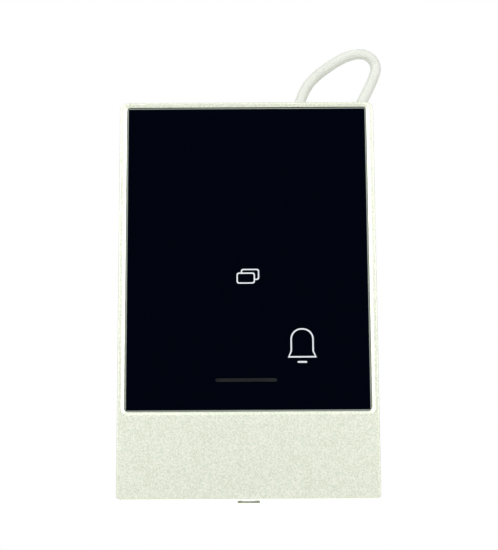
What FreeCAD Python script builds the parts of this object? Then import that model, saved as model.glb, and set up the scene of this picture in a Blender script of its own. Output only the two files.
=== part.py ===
"""Video doorbell: a metal front frame with a black touch glass, its inner boards and
sounders, a moulded rear cover, a steel wall bracket and a short white cable tail.

Frame: +Z up, the front faces -Y, and the origin lies on the wall plane (y = 0), which is
the bracket's rear face, at the centre of the body. All sizes are in millimetres.
"""
import FreeCAD, Part
import math
import os

V = FreeCAD.Vector

# ---- Body ----------------------------------------------------------------------------
body_w = 90.6              # width over the frame
body_h = 142.0             # height over the frame
front_y = -20.0            # front face of the rim and the chin
frame_back_y = -1.8        # rear edge of the frame's walls
wall_t = 1.8               # frame wall near the rear
mid_wall_t = 3.0           # frame wall in front of the seal ledge
top_corner_r = 2.8
bottom_corner_r = 1.4
front_edge_r = 0.45        # rounding of the frame's outer front edge
pocket_bevel_w = 1.05      # shallow bevel round the glass pocket
pocket_bevel_t = 0.38

# ---- Glass and what is bonded behind it ----------------------------------------------
chin_h = 30.13             # plain metal below the glass pocket
side_rim_w = 2.45          # metal rim at the glass's sides
top_rim_w = 1.75
glass_gap = 0.15           # gap at the glass's sides
glass_top_gap = 0.3        # the glass rests low in its pocket
glass_low_gap = 0.05
glass_t = 1.8
glass_corner_r = 1.2
glass_bevel = 0.5
tape_t = 0.3
ledge_t = 1.5              # thickness of the ledge that carries the glass
ledge_w = 2.5              # width of that ledge
inlay_t = 0.12             # depth of the printed symbols
film_gap = 0.3             # gap between the glass tape and the touch film
guide_t = 2.0              # acrylic light guide
guide_gap = 0.3            # side gap round the light guide
key_board_t = 1.0
guide_board_gap = 0.2
led_w = 2.2                # surface-mount lights on the key board
led_h = 1.8
led_t = 0.8
led_pocket_r = 1.9         # pocket over each light in the guide
led_pocket_t = 0.9
coil_w = 46.0              # printed antenna of the card reader
coil_top_gap = 12.0        # from the key board's upper edge down to the coil
coil_low_z = -8.0
coil_band = 3.0
coil_t = 0.25
glow_low_gap = 3.87        # from the pocket's lower edge to the light guide and key board
glow_top_gap = 33.0        # from the body's top down to their upper edge

# ---- Symbols (x to the right, heights from the body's lower end) -----------------------
bell_stroke = 0.52
bell_x = 18.88
bell_top_h = 59.33
bell_bottom_h = 48.94
bell_w = 8.12
bell_foot_w = 9.97
bell_foot_h = 2.35         # height of the flared foot
bell_dome_h = 3.9          # height of the arch
clapper_w = 3.3
clapper_h = 0.62
clapper_gap = 1.23
card_stroke = 0.46
card_w = 6.46
card_h = 4.01
card_r = 0.86
card_x = -0.62             # centre of the front card
card_mid_h = 77.35
card_shift_x = 1.5         # the rear card stands this far right of the front one
card_shift_z = 1.3
bar_x = -0.6
bar_mid_h = 41.15
bar_w = 21.4
bar_h = 1.2

# ---- Rear cover ----------------------------------------------------------------------
cover_gap = 0.15           # gap between the cover and the frame's walls
cover_back_y = -4.0        # rear face of the cover
cover_t = 2.0
skirt_t = 1.5
seal_t = 1.0
seal_w = 0.9
ledge_y = -9.0             # seal ledge and post ends in the frame
skin_t = 1.2               # walls of the recesses in the cover
bay = dict(x0=-26.0, x1=34.0, z0=-26.0, z1=20.0)     # cable bay, open to the rear
channel_left_x = 14.95     # lines that the cable keeps between in its channel above the bay
channel_right_x = 33.05
channel_top_right_x = 39.45                          # the same for the wider upper end
channel_drop = 21.0        # from the body's top down to the channel's wider upper end
channel_floor_y = -6.8
post_r = 3.0
post_side_gap = 5.9        # from the frame's sides to the posts' centres
post_end_gap = 9.0         # from its ends to the outer posts
post_right_drop = 31.0     # from its top to the upper post on the right
screw_r = 1.25
screw_head_r = 2.3
screw_head_t = 1.6
screw_len = 7.0
thread_depth = 5.5         # tapped hole in the frame's posts
head_gap = 0.3
head_sink = 0.2            # the heads lie this far below the cover's face
hex_r = 1.25               # hexagon socket of the cover screws
hex_depth = 0.9
label_x0, label_x1 = -14.0, 26.0
label_low_gap = 15.0       # from the body's lower end to the label
label_bay_gap = 10.0       # from the label to the cable bay
label_t = 0.12

# ---- Wall bracket, its hooks and the lock screw ---------------------------------------
plate_t = 1.6
plate_w = 78.0
plate_low_gap = 8.6        # from the body's lower end to the plate
plate_high_gap = 11.0      # from its top down to the plate
plate_r = 4.0
bolt_dx = 46.0             # spacing of the wall screws, whose heads miss the cable
bolt_dz = 84.0
bolt_r = 2.25
hook_xs = (-27.0, 3.5)
hook_w = 12.0
hook_drop = 7.6            # from the body's top to the hooks' tongues, on which it hangs
hook_lip_y = -6.6          # rear face of the upturned lip
hook_lip_h = 2.8           # height of the lip above the tongue
hook_side_gap = 1.0
hook_room_y = -10.2        # front of the hook pockets
hook_room_below = 3.8      # room below and above the tongue
hook_room_above = 3.5
hang_gap = 0.05
opening = dict(x0=-20.0, x1=30.0, z0=-23.0, z1=17.0)  # cable opening of the bracket
tab_w = 11.0
tab_front_y = -13.0
tab_slot_gap = 0.25
tab_room = 1.6             # room round the tab in the cover's pocket
room_wall_t = 1.0          # walls of the hook and tab pockets
lock_y = -10.8             # axis of the lock screw
lock_r = 1.5
lock_head_r = 2.4
lock_head_t = 1.3
lock_top_gap = 10.0        # from the body's lower end to the lock screw's tip
lock_socket_r = 1.1        # ring socket of the security head, with a pin in it
lock_socket_t = 0.8
lock_pin_r = 0.4
recess_w = 7.8             # finger recess in the bottom wall
recess_len = 10.0
recess_depth = 1.8
nut_side = 4.8
nut_t = 1.3

# ---- Boards and what stands on them ---------------------------------------------------
board_gap = 0.3            # between the key board and the posts behind it
main_board_t = 1.2
bay_board_gap = 0.1        # between the cable bay's floor and the board
main_w = 68.0
main_low_gap = 33.5        # from the body's lower end to the board
main_high_gap = 13.0       # from its top down to the board
board_post_x = 28.0
board_post_low = 5.5       # from the board's ends to its screws
board_post_high = 4.0
board_post_r = 2.4
board_screw_r = 1.0
board_screw_head_r = 1.9
board_screw_head_t = 1.2
board_screw_depth = 2.4    # thread that goes into the cover's posts
spacer_r = 2.2
spacer_bore_r = 1.1
spacer_xs = (-22.0, 31.0)
spacer_low = 10.0          # from the key board's ends to the spacers
spacer_high = 7.0
can = dict(x0=-14.0, x1=8.0, z0=-24.5, z1=-10.5)     # shield can over the processor
can_h = 1.8
can_t = 0.3
chip_places = [            # x0, x1, z0, z1 and height of each chip
    (-11.0, -1.0, -23.0, -13.0, 1.0), (1.0, 6.0, -22.0, -15.0, 0.9),
    (-28.0, -19.0, 2.0, 14.0, 1.1), (12.0, 19.0, 26.0, 32.0, 1.2)]
joint_x0, joint_x1 = 12.0, 26.0                      # connector between the two boards
joint_z0, joint_z1 = -22.0, -18.0
header_w = 3.4
header_h = 8.0
camera_drop = 21.0         # from the body's top to the lens
camera_side = 12.0
lens_r = 3.6
lens_gasket_w = 1.4
camera_gap = 1.2           # from the glass ledge's front to the holder
holder_wall_t = 1.2
sensor_room_t = 1.4
sensor_w = 6.4
sensor_t = 0.9
lens_proud = 0.6           # the lens stands this far out of its holder
dish_r = 6.0               # hollow front of the lens
dish_depth = 0.5
ir_x = 15.0
ir_r = 2.5
ir_len = 4.2
ir_dome_t = 0.9

# ---- Sound ---------------------------------------------------------------------------
speaker_r = 12.0
speaker_post_gap = 1.1     # from the speaker to the corner post
speaker_end_gap = 1.2      # from the speaker to the bottom wall
speaker_ring = 1.8
gasket_t = 1.8
basket_t = 1.6             # rim of the speaker's basket
hub_r = 6.4                # the basket's hub, which holds the magnet
hub_y = 3.0                # depth of the hub behind the basket's front
hub_t = 1.0
magnet_t = 3.4
arm_w = 3.0
cone_h = 1.8
cone_t = 0.4
cone_back_r = 4.0
sound_slots = 3
sound_slot_w = 1.3
sound_slot_len = 9.0
sound_slot_pitch = 2.5
sound_slot_y = -14.6       # depth of the middle slot
mic_x = 24.0
mic_y = -13.0
mic_r = 3.0
mic_t = 2.6
mic_boot_t = 1.0
mic_boot_floor_t = 1.2
mic_lip_t = 0.4            # lip that snaps over the microphone
mic_hole_r = 0.6

# ---- Push pins -----------------------------------------------------------------------
pin_gap = 0.08             # running clearance of the sliding pins
tamper_x = -33.0
tamper_z = 34.0
tamper_stem_r = 2.0
tamper_hole_r = 4.0        # hole in the bracket round the tamper pin
reset_x = -33.0
reset_z = -14.0
reset_stem_r = 2.0
reset_travel = 0.4
flange_r = 3.0
flange_t = 0.8
tamper_tip_y = -0.2        # the stem's end, just short of the wall plane
tamper_nose_r = 0.9        # thin end that enters the switch
tamper_switch_t = 1.6
tamper_switch_bore_r = 1.2
sleeve_foot_r = 2.6        # rubber return sleeve
sleeve_top_r = 2.0
sleeve_foot_bore_r = 2.2
sleeve_top_bore_r = 1.2
reset_switch_t = 1.2
reset_knob_r = 1.3
reset_knob_t = 0.6
reset_sink = 0.3           # the reset button lies this far below the cover's face

# ---- Cable ---------------------------------------------------------------------------
cable_d = 3.9
grommet_r = cable_d / 2 + 0.4
grommet_flange_r = cable_d / 2 + 0.85
header_gap = 0.1           # between the header's top and the cover's plate
route_body_h = 142.0       # body height that the route is drawn for
cable_route = [            # from the header on the main board, up and over, to the connector
    (-30.5, -7.1, -6.0), (-19.5, -7.1, -6.0), (-8.6, -6.5, -5.2), (1.6, -5.2, -1.4),
    (10.2, -4.4, 6.6), (15.2, -4.4, 18.4), (16.9, -4.4, 32.0), (15.6, -4.4, 45.6),
    (15.9, -4.4, 58.0), (17.7, -4.4, 69.6), (21.3, -4.4, 81.6), (27.5, -4.4, 87.9),
    (37.0, -4.4, 94.0), (44.2, -4.4, 94.9), (48.5, -4.4, 90.0), (45.6, -4.4, 82.2),
    (39.9, -4.4, 71.4), (35.6, -4.4, 60.6), (32.6, -4.4, 49.2), (29.2, -4.4, 38.2),
    (27.8, -4.4, 26.6), (25.2, -4.4, 16.0)]
plug_w = 9.6
plug_len = 12.0
plug_t = 5.0
plug_edge = 0.4            # broken edges of the plug
latch_w = 3.2              # latch rib on the plug's face
latch_h = 0.8
cavity = 1.2               # side of each contact cavity
cavity_len = 5.0
contact = 0.8              # side of each contact
contact_sink = 1.0
contact_xs = (-3.3, -1.1, 1.1, 3.3)
contact_ys = (-1.1, 1.1)

# ---- Values that follow from those above -----------------------------------------------
half_w = body_w / 2
half_h = body_h / 2
pocket_x = half_w - side_rim_w
pocket_top_z = half_h - top_rim_w
pocket_low_edge = -half_h + chin_h
glass_back_y = front_y + glass_t
ledge_front_y = glass_back_y + tape_t
ledge_back_y = ledge_front_y + ledge_t
inner_x = half_w - wall_t
inner_z = half_h - wall_t
mid_x = half_w - mid_wall_t
mid_z = half_h - mid_wall_t
cover_x = inner_x - cover_gap
cover_z = inner_z - cover_gap
cover_front_y = cover_back_y - cover_t
skirt_front_y = ledge_y + seal_t
guide_back_y = ledge_front_y + guide_t
key_front_y = guide_back_y + guide_board_gap
key_back_y = key_front_y + key_board_t
chin_inner_y = front_y + wall_t
cable_r = cable_d / 2
glow_low_z = pocket_low_edge + glow_low_gap
glow_high_z = half_h - glow_top_gap
bell_top_z = -half_h + bell_top_h
bell_bottom_z = -half_h + bell_bottom_h
card_z = -half_h + card_mid_h
bar_z = -half_h + bar_mid_h
post_x = half_w - post_side_gap
posts_left = (half_h - post_end_gap, 0.0, -half_h + post_end_gap)
posts_right = (half_h - post_right_drop, -10.0, -half_h + post_end_gap)
plate_low_z = -half_h + plate_low_gap
plate_high_z = half_h - plate_high_gap
tab_z = plate_low_z
lock_top_z = -half_h + lock_top_gap
hook_z = half_h - hook_drop
hook_lip_z = hook_z + hook_lip_h
camera_z = half_h - camera_drop
speaker_x = -post_x + post_r + speaker_r + speaker_post_gap
speaker_z = -mid_z + speaker_r + speaker_end_gap
channel_z1 = half_h - channel_drop
channel = dict(x0=channel_left_x - cable_r, x1=channel_right_x + cable_r, z0=bay["z1"],
               z1=channel_z1)
channel_top = dict(x0=channel["x0"], x1=channel_top_right_x + cable_r, z0=channel_z1)
route = [V(x, y, z * body_h / route_body_h) for x, y, z in cable_route]
bay_floor_y = route[0].y - grommet_flange_r
main_back_y = bay_floor_y - skin_t - bay_board_gap
main_front_y = main_back_y - main_board_t
main_low_z = -half_h + main_low_gap
main_high_z = half_h - main_high_gap
board_posts_z = (main_low_z + board_post_low, main_high_z - board_post_high)
spacer_zs = (glow_low_z + spacer_low, glow_high_z - spacer_high)


# ---- Small helpers ---------------------------------------------------------------------
def box(x0, x1, y0, y1, z0, z1):
    """A block between two corners."""
    return Part.makeBox(x1 - x0, y1 - y0, z1 - z0, V(x0, y0, z0))


def disc(x, z, r, y0, y1):
    """A round bar along Y from y0 to y1."""
    return Part.makeCylinder(r, y1 - y0, V(x, y0, z), V(0, 1, 0))


def post(x, y, r, z0, z1):
    """A round bar along Z from z0 to z1."""
    return Part.makeCylinder(r, z1 - z0, V(x, y, z0), V(0, 0, 1))


def ring(x, z, r_out, r_in, y0, y1):
    """A tube along Y."""
    return disc(x, z, r_out, y0, y1).cut(disc(x, z, r_in, y0, y1))


def outline(x0, x1, z0, z1, r_low, r_high):
    """A rounded rectangle in the XZ plane, with one radius below and one above."""
    corners = [(x1 - r_low, z0 + r_low, r_low, -90), (x1 - r_high, z1 - r_high, r_high, 0),
               (x0 + r_high, z1 - r_high, r_high, 90), (x0 + r_low, z0 + r_low, r_low, 180)]
    edges, last, first = [], None, None
    for cx, cz, r, start in corners:
        a = [math.radians(start + k * 45) for k in range(3)]
        p = [V(cx + r * math.cos(t), 0, cz + r * math.sin(t)) for t in a]
        if last is not None and last.distanceToPoint(p[0]) > 1e-6:
            edges.append(Part.LineSegment(last, p[0]).toShape())
        edges.append(Part.Arc(p[0], p[1], p[2]).toShape())
        first, last = first or p[0], p[2]
    edges.append(Part.LineSegment(last, first).toShape())
    return Part.Wire(edges)


def slab(x0, x1, z0, z1, y0, y1, r_low=0.0, r_high=None):
    """A plate with rounded corners, between two depths."""
    if r_low == 0.0 and not r_high:
        return box(x0, x1, y0, y1, z0, z1)
    wire = outline(x0, x1, z0, z1, r_low, r_low if r_high is None else r_high)
    wire.translate(V(0, y0, 0))
    return Part.Face(wire).extrude(V(0, y1 - y0, 0))


def prism(points, y0, y1):
    """A straight-sided outline in the XZ plane, between two depths."""
    wire = Part.makePolygon([V(x, y0, z) for x, z in points + points[:1]])
    return Part.Face(wire).extrude(V(0, y1 - y0, 0))


def grown(recess, by, y0, y1):
    """The block of a recess, made larger or smaller all round."""
    return box(recess["x0"] - by, recess["x1"] + by, y0, y1, recess["z0"] - by, recess["z1"] + by)


def front_edges(shape, y, inside):
    """The edges that lie in the plane at y, inside or outside the glass pocket's outline."""
    picked = []
    for edge in shape.Edges:
        b = edge.BoundBox
        flat = abs(b.YMin - y) < 1e-6 and abs(b.YMax - y) < 1e-6
        outer = (max(abs(b.XMin), abs(b.XMax)) > pocket_x + 1e-3 or b.ZMax > pocket_top_z + 1e-3
                 or b.ZMin < pocket_low_edge - 1e-3)
        if flat and outer != inside:
            picked.append(edge)
    return picked


parts = {}


# ---- Front frame -----------------------------------------------------------------------
def sound_slot_tools():
    """Slots through the left wall, beside the speaker."""
    tools = []
    for i in range(sound_slots):
        y = sound_slot_y + (i - (sound_slots - 1) / 2) * sound_slot_pitch
        tools.append(box(-half_w - 1, -mid_x + 1, y - sound_slot_w / 2, y + sound_slot_w / 2,
                         speaker_z - sound_slot_len / 2, speaker_z + sound_slot_len / 2))
    return tools


def all_posts():
    return [(-post_x, z) for z in posts_left] + [(post_x, z) for z in posts_right]


def pocket_bevel(pocket_r):
    """What the shallow bevel takes off: the pocket's outline widens towards the front."""
    wires = []
    for by, y in ((pocket_bevel_w, front_y), (0.0, front_y + pocket_bevel_t)):
        wire = outline(-pocket_x - by, pocket_x + by, pocket_low_edge - by, pocket_top_z + by,
                       pocket_r + by, pocket_r + by)
        wire.translate(V(0, y, 0))
        wires.append(wire)
    return Part.makeLoft(wires, True, True)


def make_front_frame():
    """One-piece bead-blasted metal frame: rim, chin, glass ledge, seal ledge and screw posts."""
    shell = slab(-half_w, half_w, -half_h, half_h, front_y, frame_back_y,
                 bottom_corner_r, top_corner_r)
    shell = shell.makeFillet(front_edge_r, front_edges(shell, front_y, False))
    pocket_r = glass_corner_r + glass_gap
    shell = shell.cut(slab(-pocket_x, pocket_x, pocket_low_edge, pocket_top_z,
                           front_y - 1, ledge_front_y, pocket_r))
    shell = shell.cut(pocket_bevel(pocket_r))
    window = slab(-pocket_x + ledge_w, pocket_x - ledge_w, pocket_low_edge + ledge_w,
                  pocket_top_z - ledge_w, ledge_front_y - 1, ledge_back_y, 1.0)
    behind = box(-mid_x, mid_x, ledge_back_y, ledge_y, -mid_z, mid_z)
    chin_room = box(-mid_x, mid_x, chin_inner_y, ledge_back_y, -mid_z, pocket_low_edge - wall_t)
    rear = box(-inner_x, inner_x, ledge_y, frame_back_y + 1, -inner_z, inner_z)
    shell = shell.cut([window, behind, chin_room, rear])
    for x, z in all_posts():
        front = chin_inner_y if z < pocket_low_edge else key_back_y + board_gap
        shell = shell.fuse(disc(x, z, post_r, front, ledge_y))
    holes = [disc(x, z, screw_r, ledge_y - thread_depth, ledge_y) for x, z in all_posts()]
    gate = box(channel_top["x0"] + 1, channel_top["x1"] + 1.2, channel_floor_y - 0.2,
               frame_back_y + 1, mid_z - 2, half_h + 1)
    recess = slab(-recess_w / 2, recess_w / 2, -recess_len / 2, recess_len / 2,
                  0, recess_depth, 1.6)
    recess.rotate(V(0, 0, 0), V(1, 0, 0), 90)
    recess.translate(V(0, lock_y, -half_h))
    lock_hole = post(0, lock_y, lock_r + 0.1, -half_h, -mid_z)
    mic_hole = post(mic_x, mic_y, mic_hole_r, -half_h, -mid_z)
    return shell.cut(holes + [gate, recess, lock_hole, mic_hole] + sound_slot_tools()).removeSplitter()


# ---- Glass, symbols and the layers behind ------------------------------------------------
def bell_solid(y0, y1):
    """Outline of a bell with an arched top and a flared foot, and a clapper below it."""
    def loop(d):
        half, foot = bell_w / 2 - d, bell_foot_w / 2 - 1.25 * d
        low, top = bell_bottom_z + d, bell_top_z - d
        shoulder, waist = bell_top_z - bell_dome_h, bell_bottom_z + bell_foot_h
        arch = V(half * 0.74, 0, shoulder + (top - shoulder) * 0.69)
        pts = [V(-foot, 0, low), V(foot, 0, low), V(half, 0, waist), V(half, 0, shoulder)]
        edges = [Part.LineSegment(a, b).toShape() for a, b in zip(pts, pts[1:])]
        edges.append(Part.Arc(pts[3], arch, V(0, 0, top)).toShape())
        left = V(-half, 0, shoulder)
        edges.append(Part.Arc(V(0, 0, top), V(-arch.x, 0, arch.z), left).toShape())
        edges.append(Part.LineSegment(left, V(-half, 0, waist)).toShape())
        edges.append(Part.LineSegment(V(-half, 0, waist), pts[0]).toShape())
        wire = Part.Wire(edges)
        wire.translate(V(bell_x, y0, 0))
        return Part.Face(wire).extrude(V(0, y1 - y0, 0))
    clapper_top = bell_bottom_z - clapper_gap
    clapper = slab(bell_x - clapper_w / 2, bell_x + clapper_w / 2, clapper_top - clapper_h,
                   clapper_top, y0, y1, clapper_h * 0.45)
    return Part.makeCompound([loop(0).cut(loop(bell_stroke)), clapper])


def card_solid(y0, y1):
    """Two overlapping card outlines: the rear one shows only where the front one leaves it."""
    def card(dx, dz, d):
        w, h = card_w / 2 - d, card_h / 2 - d
        return slab(card_x + dx - w, card_x + dx + w, card_z + dz - h, card_z + dz + h,
                    y0, y1, card_r - d * 0.6)
    dx, dz = card_shift_x, card_shift_z
    front = card(0, 0, 0).cut(card(0, 0, card_stroke))
    rear = card(dx, dz, 0).cut(card(dx, dz, card_stroke))
    return front.fuse(rear.cut(card(0, 0, 0))).removeSplitter()


def bar_solid(y0, y1):
    return slab(bar_x - bar_w / 2, bar_x + bar_w / 2, bar_z - bar_h / 2, bar_z + bar_h / 2,
                y0, y1, bar_h * 0.48)


def make_glass_stack():
    x, top, low = pocket_x - glass_gap, pocket_top_z - glass_top_gap, pocket_low_edge + glass_low_gap
    glass = slab(-x, x, low, top, front_y, glass_back_y, glass_corner_r)
    glass = glass.makeChamfer(glass_bevel, front_edges(glass, front_y, True))
    y0, y1 = front_y, front_y + inlay_t
    parts["bell_symbol"] = bell_solid(y0, y1)
    parts["card_symbol"] = card_solid(y0, y1)
    parts["status_bar"] = bar_solid(y0, y1)
    for name in ("bell_symbol", "card_symbol", "status_bar"):
        glass = glass.cut(parts[name])
    parts["front_glass"] = glass
    ledge_x, ledge_top = pocket_x - ledge_w, pocket_top_z - ledge_w
    ledge_low = pocket_low_edge + ledge_w
    tape = slab(-x, x, low, top, glass_back_y, ledge_front_y, glass_corner_r)
    parts["glass_tape"] = tape.cut(slab(-ledge_x, ledge_x, ledge_low, ledge_top,
                                        glass_back_y, ledge_front_y, 1.0))
    parts["touch_film"] = box(-ledge_x + film_gap, ledge_x - film_gap, glass_back_y,
                              ledge_front_y, ledge_low + film_gap, glow_high_z)
    led_places = led_centres()
    guide = box(-ledge_x + guide_gap, ledge_x - guide_gap, ledge_front_y, guide_back_y,
                max(glow_low_z, ledge_low + guide_gap), glow_high_z)
    pocket_y = guide_back_y - led_pocket_t
    parts["light_guide"] = guide.cut([disc(px, pz, led_pocket_r, pocket_y, guide_back_y)
                                      for px, pz in led_places])
    board = box(-ledge_x + guide_gap, ledge_x - guide_gap, key_front_y, key_back_y,
                max(glow_low_z, ledge_low + guide_gap), glow_high_z)
    parts["key_board"] = board
    parts["key_leds"] = Part.makeCompound(
        [box(px - led_w / 2, px + led_w / 2, key_front_y - led_t, key_front_y,
             pz - led_h / 2, pz + led_h / 2) for px, pz in led_places])
    coil_y, half = key_back_y + coil_t, coil_w / 2
    coil_top_z = glow_high_z - coil_top_gap
    rim = slab(-half, half, coil_low_z, coil_top_z, key_back_y, coil_y, 4.0)
    hole = slab(-half + coil_band, half - coil_band, coil_low_z + coil_band,
                coil_top_z - coil_band, key_back_y, coil_y, 2.5)
    parts["rfid_coil"] = rim.cut(hole)


def led_centres():
    """One light behind each symbol, and three behind the status bar."""
    bell_mid = (bell_top_z + bell_bottom_z) / 2
    return [(bell_x, bell_mid), (card_x, card_z), (bar_x - bar_w / 3, bar_z), (bar_x, bar_z),
            (bar_x + bar_w / 3, bar_z)]


# ---- Main board and its parts ------------------------------------------------------------
def board_post_places():
    return [(x, z) for x in (-board_post_x, board_post_x) for z in board_posts_z]


def make_boards():
    board = box(-main_w / 2, main_w / 2, main_front_y, main_back_y, main_low_z, main_high_z)
    for x, z in board_post_places():
        board = board.cut(disc(x, z, board_screw_r + 0.1, main_front_y, main_back_y))
    parts["main_board"] = board
    screws = []
    for x, z in board_post_places():
        head = disc(x, z, board_screw_head_r, main_front_y - board_screw_head_t, main_front_y)
        thread = disc(x, z, board_screw_r, main_front_y, main_back_y + board_screw_depth)
        screws.append(head.fuse(thread))
    parts["board_screws"] = Part.makeCompound(screws)
    parts["board_spacers"] = Part.makeCompound(
        [ring(x, z, spacer_r, spacer_bore_r, key_back_y, main_front_y)
         for x in spacer_xs for z in spacer_zs])
    lid = grown(can, 0, main_front_y - can_h, main_front_y)
    parts["shield_can"] = lid.cut(grown(can, -can_t, main_front_y - can_h + can_t, main_front_y))
    parts["board_chips"] = Part.makeCompound(
        [box(x0, x1, main_front_y - h, main_front_y, z0, z1) for x0, x1, z0, z1, h in chip_places])
    parts["board_connector"] = box(joint_x0, joint_x1, key_back_y, main_front_y, joint_z0, joint_z1)
    make_camera()
    x, z = route[0].x, route[0].z
    parts["cable_header"] = box(x - header_w, x, main_back_y, cover_front_y - header_gap,
                                z - header_h / 2, z + header_h / 2)


def make_camera():
    """Camera hidden behind the upper glass, with a light on each side for night."""
    s, y1 = camera_side / 2, main_front_y
    y0, room = ledge_front_y + camera_gap, s - holder_wall_t
    holder = box(-s, s, y0, y1, camera_z - s, camera_z + s)
    parts["camera_holder"] = holder.cut([
        disc(0, camera_z, lens_r, y0, y1 - sensor_room_t),
        box(-room, room, y1 - sensor_room_t, y1, camera_z - room, camera_z + room)])
    side = sensor_w / 2
    parts["image_sensor"] = box(-side, side, y1 - sensor_t, y1, camera_z - side, camera_z + side)
    barrel = disc(0, camera_z, lens_r, y0 - lens_proud, y1 - sensor_room_t - 0.3)
    dish = Part.makeSphere(dish_r, V(0, y0 - lens_proud - dish_r + dish_depth, camera_z))
    parts["camera_lens"] = barrel.cut(dish)
    parts["camera_gasket"] = ring(0, camera_z, lens_r + lens_gasket_w, lens_r, glass_back_y, y0)
    leds = []
    tip_y, ball_r = y1 - ir_len, ir_r + ir_dome_t
    for x in (-ir_x, ir_x):
        ball = Part.makeSphere(ball_r, V(x, tip_y + ball_r, camera_z))
        dome = ball.common(disc(x, camera_z, ir_r, tip_y, tip_y + ir_dome_t))
        bulb = disc(x, camera_z, ir_r, tip_y + ir_dome_t, y1)
        leds.append(bulb.fuse(dome).removeSplitter())
    parts["ir_leds"] = Part.makeCompound(leds)


# ---- Sound -----------------------------------------------------------------------------
def make_sound():
    """Speaker behind the chin, facing a chamber with slots to the left, and the microphone."""
    x, z, r, y0 = speaker_x, speaker_z, speaker_r, chin_inner_y + gasket_t
    gasket = ring(x, z, r, r - speaker_ring, chin_inner_y, y0)
    mouth = box(x - r - 1, x, chin_inner_y, y0, z - sound_slot_len / 2, z + sound_slot_len / 2)
    parts["speaker_gasket"] = gasket.cut(mouth)
    basket = ring(x, z, r, r - speaker_ring, y0, y0 + basket_t)
    basket = basket.fuse(ring(x, z, r - 2.4, hub_r, y0 + hub_y, y0 + hub_y + hub_t))
    arm_front, arm_back, rim_x = y0 + hub_y - 0.7, y0 + hub_y + hub_t, x + r - 0.4
    for turn in range(4):
        arm = box(x + hub_r + 0.2, rim_x, arm_front, arm_back, z - arm_w / 2, z + arm_w / 2)
        arm = arm.fuse(box(rim_x - 1.2, rim_x, y0 + basket_t - 0.4, arm_back,
                           z - arm_w / 2, z + arm_w / 2))
        arm.rotate(V(x, 0, z), V(0, 1, 0), 45 + 90 * turn)
        basket = basket.fuse(arm)
    parts["speaker_frame"] = basket.cut(disc(x, z, hub_r, y0, arm_back + 1)).removeSplitter()
    parts["speaker_magnet"] = disc(x, z, hub_r, y0 + hub_y, y0 + hub_y + magnet_t)
    wide = r - speaker_ring
    cone = Part.makeCone(wide - 0.4, cone_back_r, cone_h, V(x, y0 + 0.3, z), V(0, 1, 0))
    inner = Part.makeCone(wide - 0.4 - cone_t, cone_back_r - cone_t, cone_h,
                          V(x, y0 + 0.3 - cone_t, z), V(0, 1, 0))
    collar = ring(x, z, wide, wide - 1.0, y0, y0 + 0.35)
    parts["speaker_cone"] = cone.cut(inner).fuse(collar).removeSplitter()
    x, y, low = mic_x, mic_y, -mid_z
    seat, top = low + mic_boot_floor_t, low + mic_boot_floor_t + mic_t
    boot = post(x, y, mic_r + mic_boot_t, low, top + mic_lip_t)
    parts["mic_boot"] = boot.cut([post(x, y, mic_r, seat, top),
                                  post(x, y, mic_r - 0.5, top, top + mic_lip_t),
                                  post(x, y, mic_hole_r + 0.2, low, seat)])
    parts["microphone"] = post(x, y, mic_r, seat, top)


# ---- Rear cover ------------------------------------------------------------------------
def make_rear_cover():
    """Moulded cover: plate and skirt, cable bay and channel, hook pockets, lock pocket, bosses."""
    cover = box(-cover_x, cover_x, skirt_front_y, cover_back_y, -cover_z, cover_z)
    cover = cover.cut(box(-cover_x + skirt_t, cover_x - skirt_t, skirt_front_y, cover_front_y,
                          -cover_z + skirt_t, cover_z - skirt_t))
    tops = [dict(channel_top, z1=cover_z - skin_t)]
    cover = cover.fuse(grown(bay, skin_t, bay_floor_y - skin_t, cover_front_y))
    for recess in [channel] + tops:
        cover = cover.fuse(grown(recess, skin_t, channel_floor_y - skin_t, cover_front_y))
    hook_rooms = [dict(x0=x - hook_w / 2 - hook_side_gap, x1=x + hook_w / 2 + hook_side_gap,
                       z0=hook_z - hook_room_below, z1=hook_z + hook_room_above) for x in hook_xs]
    tab_pocket = dict(x0=-tab_w / 2 - tab_room, x1=tab_w / 2 + tab_room,
                      z0=tab_z - plate_t - 0.5, z1=lock_top_z + 1.0)
    for room in hook_rooms:
        cover = cover.fuse(grown(room, room_wall_t, hook_room_y - room_wall_t, cover_front_y))
    cover = cover.fuse(grown(tab_pocket, room_wall_t, tab_front_y - tab_room - room_wall_t,
                             cover_front_y))
    for x, z in all_posts():
        cover = cover.fuse(disc(x, z, post_r, ledge_y, cover_back_y))
    for x, z in board_post_places():
        cover = cover.fuse(disc(x, z, board_post_r, main_back_y, cover_front_y))
    back = frame_back_y
    cuts = [grown(bay, 0, bay_floor_y, back), grown(channel, 0, channel_floor_y, back),
            box(channel_top["x0"], channel_top["x1"], channel_floor_y, back,
                channel_top["z0"], cover_z + 1)]
    for room in hook_rooms:
        cuts.append(grown(room, 0, hook_room_y, cover_front_y))
        cuts.append(hook_slot(room, back))
    cuts.append(grown(tab_pocket, 0, tab_front_y - tab_room, back))
    for x, z in all_posts():
        head_y = cover_back_y - screw_head_t - head_sink
        cuts.append(disc(x, z, screw_head_r + head_gap, head_y, cover_back_y))
        cuts.append(disc(x, z, screw_r + 0.1, ledge_y, head_y))
    for x, z in board_post_places():
        cuts.append(disc(x, z, board_screw_r, main_back_y, main_back_y + board_screw_depth))
    cuts.append(disc(tamper_x, tamper_z, tamper_stem_r + pin_gap, cover_front_y, cover_back_y))
    cuts.append(disc(reset_x, reset_z, reset_stem_r + pin_gap, cover_front_y, cover_back_y))
    cuts.append(post(0, lock_y, lock_r + 0.15, tab_pocket["z0"] - room_wall_t, tab_pocket["z0"]))
    start = route[0] - V(0.2, 0, 0)
    cuts.append(Part.makeCylinder(grommet_r, bay["x0"] - start.x, start, V(1, 0, 0)))
    parts["rear_cover"] = cover.cut(cuts).removeSplitter()


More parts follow.
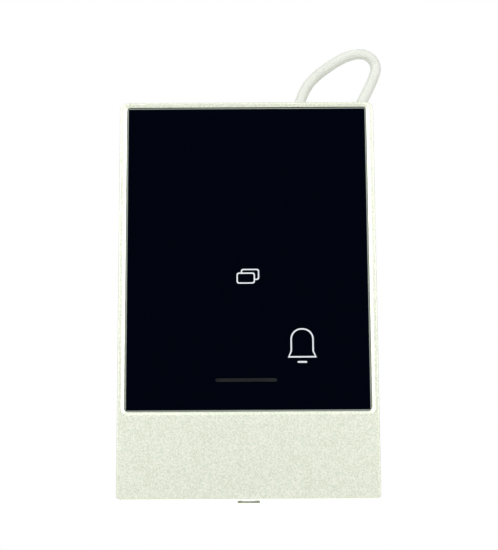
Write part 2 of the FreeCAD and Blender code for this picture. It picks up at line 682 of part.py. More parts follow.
def hook_slot(room, back):
    """Slot through the cover below the wall that hangs behind a hook. That wall's lower edge
    is a full round of radius cover_t / 2, on which the unit turns."""
    r = cover_t / 2
    mid_y, axis_z = cover_back_y - r, hook_z + hang_gap + r
    slot = box(room["x0"], room["x1"], cover_front_y, back, room["z0"], axis_z)
    bead = Part.makeCylinder(r, room["x1"] - room["x0"], V(room["x0"], mid_y, axis_z), V(1, 0, 0))
    return slot.cut(bead)


def make_cover_hardware():
    """Seal, cover screws, blank label, lock screw and its nut."""
    y0, y1 = ledge_y, skirt_front_y
    seal_x, seal_z = inner_x - cover_gap, inner_z - cover_gap
    seal = box(-seal_x, seal_x, y0, y1, -seal_z, seal_z)
    parts["rear_seal"] = seal.cut(box(-seal_x + seal_w, seal_x - seal_w, y0, y1,
                                      -seal_z + seal_w, seal_z - seal_w))
    screws = []
    for x, z in all_posts():
        head_y = cover_back_y - screw_head_t - head_sink
        head = disc(x, z, screw_head_r, head_y, head_y + screw_head_t)
        head = head.cut(hex_socket(x, z, head_y + screw_head_t))
        screws.append(head.fuse(disc(x, z, screw_r, head_y - screw_len, head_y)))
    parts["cover_screws"] = Part.makeCompound(screws)
    parts["rating_label"] = slab(label_x0, label_x1, -half_h + label_low_gap,
                                 bay["z0"] - label_bay_gap, cover_back_y,
                                 cover_back_y + label_t, 2.0)
    low = -half_h + recess_depth
    screw = post(0, lock_y, lock_head_r, low - lock_head_t, low)
    screw = screw.fuse(post(0, lock_y, lock_r, low, lock_top_z))
    face_z, deep_z = low - lock_head_t, low - lock_head_t + lock_socket_t
    socket = post(0, lock_y, lock_socket_r, face_z, deep_z)
    parts["lock_screw"] = screw.cut(socket.cut(post(0, lock_y, lock_pin_r, face_z, deep_z)))
    nut = box(-nut_side / 2, nut_side / 2, lock_y - nut_side / 2, lock_y + nut_side / 2,
              -mid_z, -mid_z + nut_t)
    parts["lock_nut"] = nut.cut(post(0, lock_y, lock_r + 0.02, -mid_z, -mid_z + nut_t))


def hex_socket(x, z, face_y):
    """Hexagon socket sunk into a screw head's face."""
    turns = [math.radians(60 * k) for k in range(6)]
    points = [(x + hex_r * math.cos(t), z + hex_r * math.sin(t)) for t in turns]
    return prism(points, face_y - hex_depth, face_y)


# ---- Wall bracket ----------------------------------------------------------------------
def make_bracket():
    """Folded steel plate with two hooks above, a slotted lock tab below and a cable opening."""
    plate = slab(-plate_w / 2, plate_w / 2, plate_low_z, plate_high_z, -plate_t, 0, plate_r)
    for x in hook_xs:
        ear = box(x - hook_w / 2, x + hook_w / 2, -plate_t, 0, plate_high_z - 1, hook_z)
        tongue = box(x - hook_w / 2, x + hook_w / 2, hook_lip_y - plate_t, 0,
                     hook_z - plate_t, hook_z)
        lip = box(x - hook_w / 2, x + hook_w / 2, hook_lip_y - plate_t, hook_lip_y,
                  hook_z - plate_t, hook_lip_z)
        plate = plate.fuse([ear, tongue, lip])
    tab = box(-tab_w / 2, tab_w / 2, tab_front_y, 0, tab_z - plate_t, tab_z)
    foot = box(-tab_w / 2, tab_w / 2, -plate_t, 0, tab_z - plate_t, plate_low_z + 1)
    plate = plate.fuse([tab, foot])
    slot_r = lock_r + tab_slot_gap
    cuts = [slab(opening["x0"], opening["x1"], opening["z0"], opening["z1"], -plate_t, 0, 4.0),
            post(0, lock_y, slot_r, tab_z - plate_t, tab_z),
            box(-slot_r, slot_r, tab_front_y, lock_y, tab_z - plate_t, tab_z),
            disc(tamper_x, tamper_z, tamper_hole_r, -plate_t, 0)]
    for x in (-bolt_dx / 2, bolt_dx / 2):
        for z in (-bolt_dz / 2, bolt_dz / 2):
            cuts.append(disc(x, z, bolt_r, -plate_t, 0))
    parts["wall_bracket"] = plate.cut(cuts).removeSplitter()


# ---- Push pins -------------------------------------------------------------------------
def make_pins():
    """Tamper pin that the wall holds in, its rubber return sleeve and switch, and the reset button."""
    x, z = tamper_x, tamper_z
    flange_y = cover_front_y - 0.8 - flange_t
    foot_y = main_back_y + tamper_switch_t
    stem = disc(x, z, tamper_stem_r, flange_y, tamper_tip_y)
    flange = disc(x, z, flange_r, flange_y, flange_y + flange_t)
    nose = disc(x, z, tamper_nose_r, foot_y - 0.2, flange_y)
    parts["tamper_plunger"] = stem.fuse([flange, nose]).removeSplitter()
    base = box(x - 0.8, x + 3.8, main_back_y, foot_y, z - 3, z + 3)
    base = base.fuse(disc(x, z, flange_r, main_back_y, foot_y))
    parts["tamper_switch"] = base.cut(disc(x, z, tamper_switch_bore_r, main_back_y, foot_y))
    height, foot, up = flange_y - foot_y, V(x, foot_y, z), V(0, 1, 0)
    sleeve = Part.makeCone(sleeve_foot_r, sleeve_top_r, height, foot, up)
    bore = Part.makeCone(sleeve_foot_bore_r, sleeve_top_bore_r, height, foot, up)
    parts["tamper_sleeve"] = sleeve.cut(bore)
    x, z = reset_x, reset_z
    body_y = main_back_y + reset_switch_t
    knob_y = body_y + reset_knob_t
    stem = disc(x, z, reset_stem_r, knob_y + reset_travel + 0.05, cover_back_y - reset_sink)
    flange = disc(x, z, flange_r, cover_front_y - 0.1 - flange_t, cover_front_y - 0.1)
    parts["reset_button"] = stem.fuse(flange).removeSplitter()
    body = box(x - 1.0, x + 5.0, main_back_y, body_y, z - 3, z + 3)
    parts["reset_switch"] = body.fuse(disc(x + 0.4, z, reset_knob_r, main_back_y, knob_y))


# ---- Cable -----------------------------------------------------------------------------
def cable_path():
    """Straight runs joined by tangent arcs, each as large as its two runs allow."""
    edges, here, length = [], route[0], 0.0
    for i in range(1, len(route) - 1):
        a, b, c = route[i - 1], route[i], route[i + 1]
        u, w = (a - b).normalize(), (c - b).normalize()
        run = min((a - b).Length, (c - b).Length)
        half_turn = (math.pi - u.getAngle(w)) / 2
        reach = 0.45 * run
        radius = reach / math.tan(half_turn)
        start, end = b + u * reach, b + w * reach
        middle = b + (u + w).normalize() * (radius / math.cos(half_turn) - radius)
        edges.append(Part.LineSegment(here, start).toShape())
        edges.append(Part.Arc(start, middle, end).toShape())
        length += edges[-2].Length + edges[-1].Length
        print(f"cable arc {i}: radius {radius:.1f} mm, {math.degrees(2 * half_turn):.0f} degrees")
        here = end
    edges.append(Part.LineSegment(here, route[-1]).toShape())
    return Part.Wire(edges), length + edges[-1].Length


def make_cable():
    """The white cable tail, its grommet in the bay's wall and the connector on its free end."""
    path, length = cable_path()
    start = route[0]
    along = route[1] - start
    tube = path.makePipeShell([Part.Wire(Part.makeCircle(cable_r, start, along))], True, False)
    stated = math.pi * cable_r ** 2 * length
    print(f"cable length {length:.1f} mm, volume {tube.Volume:.1f}, section x length {stated:.1f}")
    parts["pigtail_cable"] = tube
    x1, y, z = bay["x0"], start.y, start.z
    sleeve = Part.makeCylinder(grommet_r, skin_t, V(x1 - skin_t, y, z), V(1, 0, 0))
    flange = Part.makeCylinder(grommet_flange_r, 0.7, V(x1, y, z), V(1, 0, 0))
    nose = Part.makeCone(cable_r + 0.6, cable_r + 0.35, 0.8, V(x1 + 0.7, y, z), V(1, 0, 0))
    bore = Part.makeCylinder(cable_r, 8, V(x1 - 4, y, z), V(1, 0, 0))
    parts["cable_grommet"] = sleeve.fuse([flange, nose]).removeSplitter().cut(bore)
    make_connector()


def make_connector():
    """Small two-row connector on the cable's free end, tucked into the bay."""
    before, end = route[-2:]
    turn = math.degrees(math.atan2(before.x - end.x, before.z - end.z))
    body = box(-plug_w / 2, plug_w / 2, -plug_t / 2, plug_t / 2, -plug_len, 0)
    body = body.makeChamfer(plug_edge, body.Edges)
    latch = box(-latch_w / 2, latch_w / 2, -plug_t / 2 - latch_h, -plug_t / 2 + 0.1,
                -plug_len + 2, -3)
    body = body.fuse(latch).removeSplitter()
    holes, pins = [], []
    end_z, floor_z = -plug_len, -plug_len + cavity_len
    for x in contact_xs:
        for y in contact_ys:
            h, c = cavity / 2, contact / 2
            holes.append(box(x - h, x + h, y - h, y + h, end_z, floor_z))
            pins.append(box(x - c, x + c, y - c, y + c, end_z + contact_sink, floor_z))
    shapes = {"pigtail_connector": body.cut(holes), "connector_contacts": Part.makeCompound(pins)}
    for name, shape in shapes.items():
        shape.rotate(V(0, 0, 0), V(0, 1, 0), turn)
        shape.translate(end)
        parts[name] = shape


# ---- Build and write ---------------------------------------------------------------------
parts["front_frame"] = make_front_frame()
make_glass_stack()
make_boards()
make_sound()
make_rear_cover()
make_cover_hardware()
make_bracket()
make_pins()
make_cable()

os.makedirs("parts", exist_ok=True)
for name, shape in parts.items():
    if not shape.isValid() or not shape.Solids:
        print("BAD", name, shape.isValid(), len(shape.Solids))
    shape.exportStep(f"parts/{name}.step")
print(len(parts), "nodes")
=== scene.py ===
"""Video doorbell on its wall bracket: metal frame, black touch glass, rear cover, white cable loop.

Everything is in metres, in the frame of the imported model: +Z up, the glass faces -Y, and the
wall plane is y = 0.
"""
import math

import bpy
import numpy as np
from mathutils import Matrix, Vector


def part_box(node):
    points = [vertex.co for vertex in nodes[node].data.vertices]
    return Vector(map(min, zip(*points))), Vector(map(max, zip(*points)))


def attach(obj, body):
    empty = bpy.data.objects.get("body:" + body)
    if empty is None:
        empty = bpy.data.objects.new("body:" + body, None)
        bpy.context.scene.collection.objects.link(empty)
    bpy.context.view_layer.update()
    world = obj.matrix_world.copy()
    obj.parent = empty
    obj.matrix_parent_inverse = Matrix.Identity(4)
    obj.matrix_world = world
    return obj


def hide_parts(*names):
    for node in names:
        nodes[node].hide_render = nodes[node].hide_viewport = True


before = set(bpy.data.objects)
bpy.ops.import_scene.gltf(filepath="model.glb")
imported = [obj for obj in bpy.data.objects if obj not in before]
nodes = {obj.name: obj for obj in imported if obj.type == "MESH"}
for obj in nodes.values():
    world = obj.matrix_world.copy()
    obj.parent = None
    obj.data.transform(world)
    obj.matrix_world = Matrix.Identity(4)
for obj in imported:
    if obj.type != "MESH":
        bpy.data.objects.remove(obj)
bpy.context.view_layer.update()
MM = 0.001


# ---- Camera ----------------------------------------------------------------------------------
# A little below the doorbell, at arm's length, tilted up to look at the middle of the glass.
camera_place = Vector((0.77, -645.2, -136.9)) * MM
camera_up_tilt = math.radians(13.0)
camera_turn = math.radians(0.022)
camera_roll = math.radians(-0.313)
camera_lens = 119.76
film_height = 36.0

ahead = Vector((-math.sin(camera_turn) * math.cos(camera_up_tilt),
                math.cos(camera_turn) * math.cos(camera_up_tilt), math.sin(camera_up_tilt)))
side = Vector((math.cos(camera_turn), math.sin(camera_turn), 0))
above = side.cross(ahead)
right = math.cos(camera_roll) * side + math.sin(camera_roll) * above
up = math.cos(camera_roll) * above - math.sin(camera_roll) * side
camera_data = bpy.data.cameras.new("camera")
camera_data.sensor_fit = "VERTICAL"
camera_data.sensor_height = film_height
camera_data.lens = camera_lens
camera = bpy.data.objects.new("camera", camera_data)
bpy.context.collection.objects.link(camera)
axes = Matrix((right, up, -ahead)).transposed().to_4x4()
camera.matrix_world = Matrix.Translation(camera_place) @ axes
bpy.context.scene.camera = camera


# ---- Front frame -----------------------------------------------------------------------------
# Rim, walls and chin in one piece of aluminium, bead-blasted and clear-anodised, so it has a
# fine, slightly sparkling grain and a faint warm green cast.
def plug(tree, value, socket):
    """Links a node's output to a socket, or sets the socket to a number or vector."""
    if isinstance(value, bpy.types.NodeSocket):
        tree.links.new(value, socket)
    else:
        socket.default_value = value


def math_node(tree, operation, *values, clamp=False):
    """The result of one Math node on outputs or numbers."""
    node = tree.nodes.new("ShaderNodeMath")
    node.operation = operation
    node.use_clamp = clamp
    for value, socket in zip(values, node.inputs):
        plug(tree, value, socket)
    return node.outputs[0]


def map_range(tree, value, start=(0.0, 1.0), to=(0.0, 1.0), smooth=False):
    """The value carried from one range to another, held at its ends."""
    node = tree.nodes.new("ShaderNodeMapRange")
    node.interpolation_type = "SMOOTHSTEP" if smooth else "LINEAR"
    plug(tree, value, node.inputs["Value"])
    node.inputs["From Min"].default_value, node.inputs["From Max"].default_value = start
    node.inputs["To Min"].default_value, node.inputs["To Max"].default_value = to
    return node.outputs[0]


def colour_mix(tree, factor, low, high):
    """The colour between low, at a factor of 0, and high, at 1."""
    node = tree.nodes.new("ShaderNodeMix")
    node.data_type = "RGBA"
    low_socket, high_socket, colour_out = node.inputs[6], node.inputs[7], node.outputs[2]
    plug(tree, factor, node.inputs[0])
    plug(tree, (*low, 1), low_socket)
    plug(tree, (*high, 1), high_socket)
    return colour_out


def lift_surface(tree, bsdf, height, distance):
    """Bumps the surface up by a distance where the height is 1."""
    node = tree.nodes.new("ShaderNodeBump")
    node.inputs["Strength"].default_value = 1.0
    node.inputs["Distance"].default_value = distance
    plug(tree, height, node.inputs["Height"])
    plug(tree, node.outputs[0], bsdf.inputs["Normal"])


def object_point(tree):
    """Object coordinates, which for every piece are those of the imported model."""
    return tree.nodes.new("ShaderNodeTexCoord").outputs["Object"]


def new_material(name, metal=0.0):
    """A material, its Principled BSDF, and its node tree."""
    mat = bpy.data.materials.new(name)
    mat.use_nodes = True
    bsdf = mat.node_tree.nodes["Principled BSDF"]
    bsdf.inputs["Metallic"].default_value = metal
    return mat, bsdf, mat.node_tree


def noise(tree, point, scale, detail, rough=0.5):
    """A noise texture's value."""
    node = tree.nodes.new("ShaderNodeTexNoise")
    plug(tree, point, node.inputs["Vector"])
    plug(tree, scale, node.inputs["Scale"])
    node.inputs["Detail"].default_value = detail
    node.inputs["Roughness"].default_value = rough
    return node.outputs["Fac"]


def grain_group():
    """Grain: two sizes of noise on Object coordinates. Mask is their mix, 0 to 1, and Height
    is the fine one alone, for a Bump node."""
    tree = bpy.data.node_groups.new("Grain", "ShaderNodeTree")
    for label in ("Scale", "Coarse", "Contrast"):
        tree.interface.new_socket(label, in_out="INPUT", socket_type="NodeSocketFloat")
    for label in ("Mask", "Height"):
        tree.interface.new_socket(label, in_out="OUTPUT", socket_type="NodeSocketFloat")
    given = tree.nodes.new("NodeGroupInput").outputs
    result = tree.nodes.new("NodeGroupOutput").inputs
    point = object_point(tree)
    middle = 0.5
    fine = noise(tree, point, given["Scale"], detail=3.0, rough=0.6)
    coarse_scale = math_node(tree, "MULTIPLY", given["Scale"], given["Coarse"])
    coarse = noise(tree, point, coarse_scale, detail=2.0)
    centred = math_node(tree, "SUBTRACT", math_node(tree, "ADD", fine, coarse), 2 * middle)
    mask = math_node(tree, "MULTIPLY_ADD", centred, given["Contrast"], middle, clamp=True)
    plug(tree, mask, result["Mask"])
    plug(tree, fine, result["Height"])
    return tree


GRAIN = grain_group()


def grain_node(tree, scale, contrast, coarse=0.18):
    """One use of the Grain group: its outputs Mask and Height."""
    node = tree.nodes.new("ShaderNodeGroup")
    node.node_tree = GRAIN
    node.inputs["Scale"].default_value = scale
    node.inputs["Coarse"].default_value = coarse
    node.inputs["Contrast"].default_value = contrast
    return node.outputs


def tint(tree, bsdf, mask, dark, light, rough):
    """Colour and roughness run between two values with the mask."""
    plug(tree, colour_mix(tree, mask, dark, light), bsdf.inputs["Base Color"])
    plug(tree, map_range(tree, mask, to=rough), bsdf.inputs["Roughness"])


def grained(name, dark, light, rough, scale, metal=0.0, contrast=1.6, bump=0.0, coarse=0.18):
    """A material whose colour and roughness follow the grain. Bump lifts its fine part."""
    mat, bsdf, tree = new_material(name, metal)
    grain = grain_node(tree, scale, contrast, coarse)
    tint(tree, bsdf, grain["Mask"], dark, light, rough)
    if bump:
        lift_surface(tree, bsdf, grain["Height"], bump)
    return mat, bsdf


def finish(mat, *names):
    """Gives CAD nodes this material."""
    for name in names:
        for slot in nodes[name].material_slots:
            slot.material = mat


metal, _ = grained("blasted_aluminium", (0.77, 0.84, 0.68), (0.99, 1.0, 0.89), (0.44, 0.48),
                   scale=2600.0, metal=1.0, contrast=3.0, bump=0.000012, coarse=0.62)
finish(metal, "front_frame")


# ---- Glass and its symbols -------------------------------------------------------------------
# Cover glass, painted black on its back. Its bevelled edge is unpainted. The edge's grey colour is a
# painted reflection, the light the polished bevel catches put into its colour. The bell and the
# cards are lit white print, and the bar is dim grey print.
glass_low, glass_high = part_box("front_glass")
glass_bevel = 0.5 * MM
glass_paint = (0.0004, 0.0012, 0.0042)
# Painted reflection: a grey colour on the bevel that stands in for the light the glass edge catches
glass_bevel_painted_reflection = (0.3, 0.33, 0.3)
glass_edge_blur = (-0.02 * MM, 0.08 * MM)


def glass_edge_mask(tree):
    """1 on the bevelled edge, 0 on the face: how far a point is past the face's own outline,
    taken as the larger of its sideways and up-and-down overshoot."""
    split = tree.nodes.new("ShaderNodeSeparateXYZ")
    plug(tree, object_point(tree), split.inputs[0])
    over = []
    for axis, low, high in (("X", glass_low[0], glass_high[0]), ("Z", glass_low[2], glass_high[2])):
        from_middle = math_node(tree, "SUBTRACT", split.outputs[axis], (low + high) / 2)
        distance = math_node(tree, "ABSOLUTE", from_middle)
        over.append(math_node(tree, "SUBTRACT", distance, (high - low) / 2 - glass_bevel))
    return map_range(tree, math_node(tree, "MAXIMUM", *over), start=glass_edge_blur)


glass, glass_bsdf, glass_tree = new_material("painted_black_glass")
glass_bsdf.inputs["IOR"].default_value = 1.5
glass_bsdf.inputs["Roughness"].default_value = 0.035
# Black paint on the face, and grey painted reflection on the bevel
plug(glass_tree, colour_mix(glass_tree, glass_edge_mask(glass_tree), glass_paint, glass_bevel_painted_reflection),
     glass_bsdf.inputs["Base Color"])
finish(glass, "front_glass")

white_print, white_bsdf = grained("white_symbol_print", (0.63, 0.65, 0.69), (0.69, 0.71, 0.73),
                                  (0.28, 0.36), scale=3000.0)
white_bsdf.inputs["Emission Color"].default_value = (0.86, 0.9, 1.0, 1)
white_bsdf.inputs["Emission Strength"].default_value = 0.1
finish(white_print, "bell_symbol", "card_symbol")
dim_print, _ = grained("dim_bar_print", (0.0025, 0.0036, 0.004), (0.0031, 0.0044, 0.0048),
                       (0.26, 0.34), scale=3000.0)
finish(dim_print, "status_bar")


# ---- Layers behind the glass -----------------------------------------------------------------
# Foam tape, the clear touch film, a frosted acrylic light guide with a pocket over each light,
# and the key board with its lights and the card reader's printed coil.
foam, _ = grained("black_foam_tape", (0.012, 0.012, 0.012), (0.035, 0.035, 0.036), (0.85, 0.95),
                  scale=5000.0, bump=0.00005)
finish(foam, "glass_tape")

film, _ = grained("touch_film", (0.47, 0.52, 0.54), (0.55, 0.6, 0.61), (0.12, 0.2), scale=900.0)
finish(film, "touch_film")

frosted, _ = grained("frosted_acrylic", (0.84, 0.87, 0.87), (0.9, 0.92, 0.92), (0.5, 0.65),
                     scale=7000.0, bump=0.000015)
finish(frosted, "light_guide")


def board_material(name, mask_colour, track_colour):
    """Solder mask over copper tracks: two sets of waves cross, and where one is high the mask
    looks lighter and stands up by the copper's thickness."""
    mat, bsdf, tree = new_material(name)
    bsdf.inputs["Roughness"].default_value = 0.3
    point = object_point(tree)
    track_edge = (0.72, 0.76)
    copper_height = 0.03 * MM
    tracks = []
    for direction, scale in (("X", 260.0), ("Z", 190.0)):
        wave = tree.nodes.new("ShaderNodeTexWave")
        wave.bands_direction = direction
        wave.inputs["Scale"].default_value = scale
        wave.inputs["Distortion"].default_value = 1.4
        wave.inputs["Detail"].default_value = 1.0
        plug(tree, point, wave.inputs["Vector"])
        tracks.append(map_range(tree, wave.outputs["Fac"], start=track_edge))
    either = math_node(tree, "MAXIMUM", *tracks)
    plug(tree, colour_mix(tree, either, mask_colour, track_colour), bsdf.inputs["Base Color"])
    lift_surface(tree, bsdf, either, copper_height)
    return mat


green_board = board_material("green_circuit_board", (0.008, 0.07, 0.03), (0.02, 0.13, 0.055))
finish(green_board, "key_board", "main_board")

phosphor, _ = grained("light_phosphor", (0.88, 0.8, 0.42), (0.93, 0.9, 0.66), (0.3, 0.42),
                      scale=4000.0)
finish(phosphor, "key_leds")

copper, _ = grained("coil_copper", (0.66, 0.31, 0.16), (0.78, 0.42, 0.25), (0.26, 0.4),
                    scale=1800.0, metal=1.0)
finish(copper, "rfid_coil")


# ---- Main board ------------------------------------------------------------------------------
# A populated board on four posts of the cover: moulded chips, a tinned shield can, brass spacers
# to the key board, steel screws, and nylon connectors for the key board and the cable tail.
epoxy, _ = grained("chip_epoxy", (0.016, 0.016, 0.018), (0.032, 0.032, 0.034), (0.5, 0.66),
                   scale=6000.0, bump=0.00001)
finish(epoxy, "board_chips", "ir_leds")

tinned, _ = grained("tinned_steel", (0.54, 0.54, 0.52), (0.68, 0.68, 0.66), (0.22, 0.42),
                    scale=900.0, metal=1.0)
finish(tinned, "shield_can", "tamper_switch", "reset_switch", "microphone")

brass, _ = grained("turned_brass", (0.64, 0.45, 0.19), (0.78, 0.58, 0.29), (0.2, 0.36),
                   scale=1500.0, metal=1.0)
finish(brass, "board_spacers", "connector_contacts")

stainless, _ = grained("stainless_steel", (0.48, 0.48, 0.47), (0.64, 0.64, 0.63), (0.22, 0.4),
                       scale=2200.0, metal=1.0, bump=0.000006)
finish(stainless, "board_screws", "lock_screw", "lock_nut")

nylon, nylon_bsdf = grained("natural_nylon", (0.72, 0.69, 0.58), (0.8, 0.78, 0.69), (0.38, 0.54),
                            scale=2600.0, bump=0.00001)
nylon_bsdf.inputs["Subsurface Weight"].default_value = 0.1
nylon_bsdf.inputs["Subsurface Scale"].default_value = 0.001
finish(nylon, "board_connector", "cable_header", "pigtail_connector")


# ---- Camera behind the glass -----------------------------------------------------------------
# Black holder on the main board with a coated plastic lens, the bare sensor, and a foam ring
# that shades the lens from the lights.
black_holder, _ = grained("black_camera_holder", (0.011, 0.011, 0.012), (0.024, 0.024, 0.026),
                          (0.54, 0.7), scale=5000.0, bump=0.00001)
finish(black_holder, "camera_holder")
finish(foam, "camera_gasket")
coated, coated_bsdf = grained("coated_lens", (0.008, 0.01, 0.02), (0.014, 0.012, 0.045),
                              (0.03, 0.08), scale=400.0)
coated_bsdf.inputs["Coat Weight"].default_value = 1.0
coated_bsdf.inputs["Coat Tint"].default_value = (0.75, 0.6, 1.0, 1)
finish(coated, "camera_lens")
silicon, _ = grained("sensor_silicon", (0.04, 0.06, 0.09), (0.07, 0.09, 0.1), (0.1, 0.2),
                     scale=3000.0, metal=0.4)
finish(silicon, "image_sensor")


# ---- Sound -----------------------------------------------------------------------------------
# A 24 mm speaker behind the chin, glued to a foam ring, and an electret microphone in a rubber
# boot over a small hole in the bottom wall.
paper, _ = grained("cone_paper", (0.03, 0.03, 0.033), (0.08, 0.08, 0.085), (0.8, 0.92),
                   scale=3500.0, bump=0.00004)
finish(paper, "speaker_cone")
finish(tinned, "speaker_frame", "speaker_magnet")
finish(foam, "speaker_gasket")
silicone, _ = grained("black_silicone", (0.017, 0.017, 0.018), (0.034, 0.034, 0.036),
                      (0.62, 0.8), scale=3800.0, bump=0.00001)
finish(silicone, "mic_boot", "tamper_sleeve")


# ---- Rear cover ------------------------------------------------------------------------------
# Moulded black ABS with a spark-eroded texture. It closes the frame over a silicone seal and
# six blackened hexagon screws, and carries a blank satin label.
abs_black, _ = grained("textured_black_abs", (0.022, 0.023, 0.025), (0.042, 0.043, 0.046),
                       (0.5, 0.72), scale=2600.0, contrast=1.8, bump=0.00004, coarse=0.45)
finish(abs_black, "rear_cover")
finish(silicone, "rear_seal")
blackened, _ = grained("blackened_steel", (0.04, 0.04, 0.042), (0.11, 0.11, 0.112), (0.28, 0.46),
                       scale=2400.0, metal=1.0, bump=0.000006)
finish(blackened, "cover_screws")
label, _ = grained("satin_polyester_label", (0.7, 0.71, 0.71), (0.76, 0.77, 0.77), (0.28, 0.42),
                   scale=700.0)
finish(label, "rating_label")


# ---- Tamper pin and reset button -------------------------------------------------------------
# Turned acetal pins that slide in the cover's plate. The wall holds the tamper pin in, and its
# silicone sleeve pushes it back out.
acetal, _ = grained("grey_acetal", (0.36, 0.37, 0.38), (0.45, 0.46, 0.47), (0.34, 0.5),
                    scale=2600.0, bump=0.000008)
finish(acetal, "tamper_plunger", "reset_button")


# ---- Wall bracket ----------------------------------------------------------------------------
# Folded 1.6 mm steel, zinc-plated after it was cut, so the spangle runs over its edges too. Two
# upturned hooks hold the cover, and the lower tab takes the lock screw.
crystal_scale = 560.0
crystal_bend_scale = 420.0
crystal_bend = 2.5 * MM
crystal_share = 0.65           # of the tone; the grain gives the rest
zinc_grain_share = 0.35
zinc_grain_scale = 2600.0


def zinc_spangle(tree):
    """Zinc crystals: each cell of a Voronoi pattern, bent by noise, has a tone of its own, which
    the grain then breaks up."""
    point = object_point(tree)
    bend = tree.nodes.new("ShaderNodeTexNoise")
    bend.inputs["Scale"].default_value = crystal_bend_scale
    plug(tree, point, bend.inputs["Vector"])
    shift = tree.nodes.new("ShaderNodeVectorMath")
    shift.operation = "MULTIPLY_ADD"
    plug(tree, bend.outputs["Color"], shift.inputs[0])
    plug(tree, (crystal_bend,) * 3, shift.inputs[1])
    plug(tree, point, shift.inputs[2])
    cells = tree.nodes.new("ShaderNodeTexVoronoi")
    cells.inputs["Scale"].default_value = crystal_scale
    plug(tree, shift.outputs[0], cells.inputs["Vector"])
    tone = tree.nodes.new("ShaderNodeSeparateColor")
    plug(tree, cells.outputs["Color"], tone.inputs[0])
    grain = grain_node(tree, zinc_grain_scale, contrast=1.4)
    part = math_node(tree, "MULTIPLY", grain["Mask"], zinc_grain_share)
    return math_node(tree, "MULTIPLY_ADD", tone.outputs[0], crystal_share, part)


zinc, zinc_bsdf, zinc_tree = new_material("zinc_plated_steel", metal=1.0)
tint(zinc_tree, zinc_bsdf, zinc_spangle(zinc_tree), (0.5, 0.515, 0.53), (0.6, 0.61, 0.615),
     (0.34, 0.46))
finish(zinc, "wall_bracket")


# ---- Cable tail ------------------------------------------------------------------------------
# White PVC cable of 3.9 mm: out of the grommet in the cable bay, up the channel, over the top
# edge in a small loop, and back down to the connector in the bay.
cable_diameter = 3.9 * MM
cable_route = np.array([
    (-30.5, -7.1, -6.0), (-19.5, -7.1, -6.0), (-8.6, -6.5, -5.2), (1.6, -5.2, -1.4),
    (10.2, -4.4, 6.6), (15.2, -4.4, 18.4), (16.9, -4.4, 32.0), (15.6, -4.4, 45.6),
    (15.9, -4.4, 58.0), (17.7, -4.4, 69.6), (21.3, -4.4, 81.6), (27.5, -4.4, 87.9),
    (37.0, -4.4, 94.0), (44.2, -4.4, 94.9), (48.5, -4.4, 90.0), (45.6, -4.4, 82.2),
    (39.9, -4.4, 71.4), (35.6, -4.4, 60.6), (32.6, -4.4, 49.2), (29.2, -4.4, 38.2),
    (27.8, -4.4, 26.6), (25.2, -4.4, 16.0)]) * MM


def cable_curve(name, points, diameter):
    """One open NURBS spline with the route's points as its control points, and a round bevel."""
    data = bpy.data.curves.new(name, "CURVE")
    data.dimensions = "3D"
    data.resolution_u = 10
    data.bevel_depth = diameter / 2
    data.bevel_resolution = 8
    data.use_fill_caps = True
    spline = data.splines.new("NURBS")
    spline.points.add(len(points) - 1)
    for point, place in zip(spline.points, points):
        point.co = (*place, 1)
    spline.order_u = 3
    spline.use_endpoint_u = True
    piece = bpy.data.objects.new(name, data)
    bpy.context.collection.objects.link(piece)
    return piece


cable = cable_curve("cable_tail", cable_route, cable_diameter)
pvc, _ = grained("white_cable_pvc", (0.72, 0.74, 0.68), (0.79, 0.805, 0.75), (0.36, 0.5),
                 scale=1400.0, bump=0.00001)
cable.data.materials.append(pvc)
soft_white, _ = grained("soft_white_grommet", (0.7, 0.71, 0.66), (0.78, 0.79, 0.75),
                        (0.48, 0.62), scale=2200.0, bump=0.00001)
finish(soft_white, "cable_grommet")
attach(cable, "unit")
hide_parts("pigtail_cable")


# ---- Floor, world and lights -----------------------------------------------------------------
# A pale floor well below the wall-hung doorbell, a white surround that is dark in a narrow cone
# ahead of the glass, so that the glass reflects black, and four soft lights.
floor_z = -0.42
floor_half = 30.0
floor_mesh = bpy.data.meshes.new("floor")
floor_mesh.from_pydata([(-floor_half, -floor_half, floor_z), (floor_half, -floor_half, floor_z),
                        (floor_half, floor_half, floor_z), (-floor_half, floor_half, floor_z)],
                       [], [(0, 1, 2, 3)])
floor = bpy.data.objects.new("floor", floor_mesh)
bpy.context.collection.objects.link(floor)
pale, pale_bsdf, _ = new_material("pale_floor")
pale_bsdf.inputs["Base Color"].default_value = (0.9, 0.9, 0.885, 1)
pale_bsdf.inputs["Roughness"].default_value = 0.7
floor_mesh.materials.append(pale)

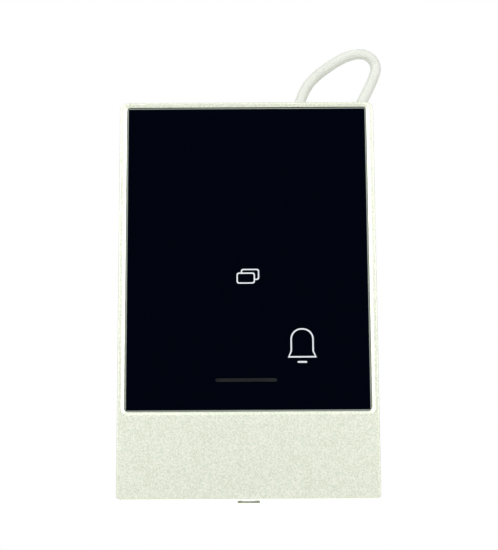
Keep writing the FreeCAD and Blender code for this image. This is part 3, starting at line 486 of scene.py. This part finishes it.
cone_axis = Vector((0, -1, 0.25)).normalized()
cone_edge = (0.955, 0.99)      # cosine of the angle to the axis, where it starts and ends to darken
surround_light, cone_light = 0.86, 0.01
world = bpy.data.worlds.new("studio")
bpy.context.scene.world = world
world.use_nodes = True
sky = world.node_tree
sky.nodes.clear()
seen = sky.nodes.new("ShaderNodeBackground")
seen.inputs["Color"].default_value = (1, 1, 1, 1)
seen.inputs["Strength"].default_value = 1.0
fill = sky.nodes.new("ShaderNodeBackground")
facing = sky.nodes.new("ShaderNodeVectorMath")
facing.operation = "DOT_PRODUCT"
plug(sky, sky.nodes.new("ShaderNodeTexCoord").outputs["Generated"], facing.inputs[0])
plug(sky, cone_axis, facing.inputs[1])
plug(sky, map_range(sky, facing.outputs["Value"], start=cone_edge, to=(surround_light, cone_light),
                    smooth=True), fill.inputs["Strength"])
pick = sky.nodes.new("ShaderNodeMixShader")
plug(sky, sky.nodes.new("ShaderNodeLightPath").outputs["Is Camera Ray"], pick.inputs[0])
plug(sky, fill.outputs[0], pick.inputs[1])
plug(sky, seen.outputs[0], pick.inputs[2])
plug(sky, pick.outputs[0], sky.nodes.new("ShaderNodeOutputWorld").inputs[0])


def area_light(name, place, target, size, power):
    """A square soft light that points at a target."""
    data = bpy.data.lights.new(name, "AREA")
    data.shape = "SQUARE"
    data.size = size
    data.energy = power
    lamp = bpy.data.objects.new(name, data)
    bpy.context.collection.objects.link(lamp)
    lamp.location = place
    lamp.rotation_euler = (Vector(target) - Vector(place)).to_track_quat("-Z", "Y").to_euler()


area_light("key_left", (-0.65, -1.0, 0.62), (0, 0, 0), size=0.6, power=5.5)
area_light("fill_right", (0.65, -1.0, 0.5), (0, 0, 0), size=0.6, power=4.0)
area_light("low_front", (0.0, -0.55, -0.9), (0, 0, -0.03), size=0.6, power=4.0)
area_light("low_back", (0.0, 1.0, -0.3), (0, 0, -0.05), size=0.8, power=5.0)

bpy.context.scene.view_settings.view_transform = "Standard"
bpy.context.scene.view_settings.look = "None"
